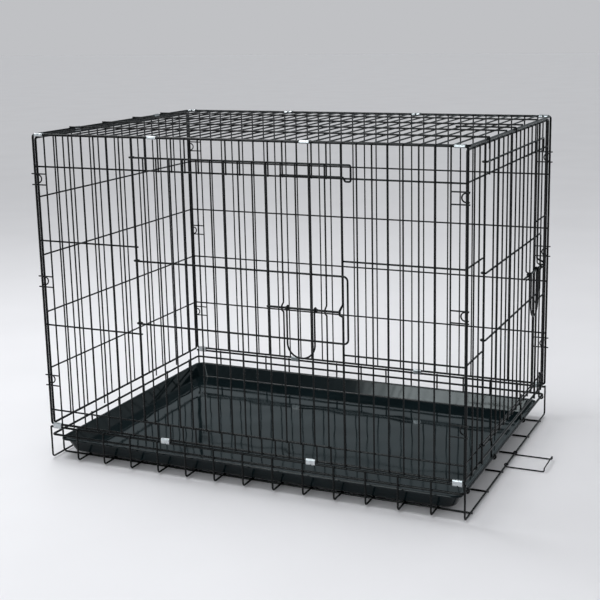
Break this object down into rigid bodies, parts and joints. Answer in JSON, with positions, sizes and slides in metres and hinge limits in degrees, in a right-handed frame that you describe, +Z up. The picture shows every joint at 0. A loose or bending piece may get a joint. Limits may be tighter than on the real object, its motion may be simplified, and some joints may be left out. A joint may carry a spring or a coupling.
{
  "type": "folding wire dog crate",
  "caption": "Folding dog crate of black coated wire with a door in the front and one end, slide bolts, fold-in end panels and a pull-out moulded tray.",
  "frame": {"origin": "on the floor, under the middle of the whole crate's box, with the tray keeper let down", "axes": "+X along the front from the hinge side to the tray's end, +Y from the front to the back, +Z up"},
  "size_m": [1.1619, 0.7682, 0.8124],
  "materials": {
    "coated_wire": "black satin coating on steel wire",
    "zinc_steel": "bright zinc-plated sheet",
    "moulded_plastic": "black moulded plastic with a soft gloss"
  },
  "bodies": {
    "crate": {"base_basket": "coated_wire", "front_panel": "coated_wire", "back_panel": "coated_wire", "roof_panel": "coated_wire", "front_top_clips": "zinc_steel", "back_top_clips": "zinc_steel", "front_bottom_clips": "zinc_steel", "back_bottom_clips": "zinc_steel", "left_hinge_clips": "zinc_steel", "front_left_catches": "coated_wire", "front_right_catches": "coated_wire", "back_left_catches": "coated_wire", "back_right_catches": "coated_wire", "roof_hooks": "coated_wire"},
    "tray": {"tray": "moulded_plastic"},
    "keeper": {"tray_keeper": "coated_wire"},
    "front_door": {"front_door": "coated_wire"},
    "front_bolt": {"front_door_bolt": "coated_wire"},
    "front_handle": {"front_door_handle": "coated_wire"},
    "left_end": {"left_end_panel": "coated_wire"},
    "right_end": {"right_end_panel": "coated_wire"},
    "end_door": {"end_door": "coated_wire"},
    "end_bolt": {"end_door_bolt": "coated_wire"},
    "end_handle": {"end_door_handle": "coated_wire"}
  },
  "joints": [
    {"name": "front_door_swing", "type": "hinge", "parent": "crate", "child": "front_door", "pos_m": [-0.30049, -0.3624, 0.445], "axis": [0, 0, -1], "range_deg": [0, 150]},
    {"name": "front_bolt_slide", "type": "slide", "parent": "front_door", "child": "front_bolt", "axis": [1, 0, 0], "range_m": [0, 0.017]},
    {"name": "front_handle_lift", "type": "hinge", "parent": "front_bolt", "child": "front_handle", "pos_m": [0.12109, -0.37625, 0.445], "axis": [-1, 0, 0], "range_deg": [0, 120]},
    {"name": "right_end_fold", "type": "hinge", "parent": "crate", "child": "right_end", "pos_m": [0.48307, 0.01015, 0.063], "axis": [0, 1, 0], "range_deg": [-90, 0]},
    {"name": "end_door_swing", "type": "hinge", "parent": "right_end", "child": "end_door", "pos_m": [0.48802, -0.23463, 0.445], "axis": [0, 0, -1], "range_deg": [0, 150]},
    {"name": "end_bolt_slide", "type": "slide", "parent": "end_door", "child": "end_bolt", "axis": [0, 1, 0], "range_m": [0, 0.017]},
    {"name": "end_handle_lift", "type": "hinge", "parent": "end_bolt", "child": "end_handle", "pos_m": [0.50187, 0.15454, 0.445], "axis": [0, -1, 0], "range_deg": [0, 120]},
    {"name": "left_end_fold", "type": "hinge", "parent": "crate", "child": "left_end", "pos_m": [-0.57442, 0.01015, 0.79795], "axis": [0, -1, 0], "range_deg": [0, 89]},
    {"name": "tray_slide", "type": "slide", "parent": "crate", "child": "tray", "axis": [1, 0, 0], "range_m": [0, 0.98]},
    {"name": "keeper_raise", "type": "hinge", "parent": "crate", "child": "keeper", "pos_m": [0.48762, 0.02515, 0.0062], "axis": [0, 1, 0], "range_deg": [-90, 0]}
  ]
}
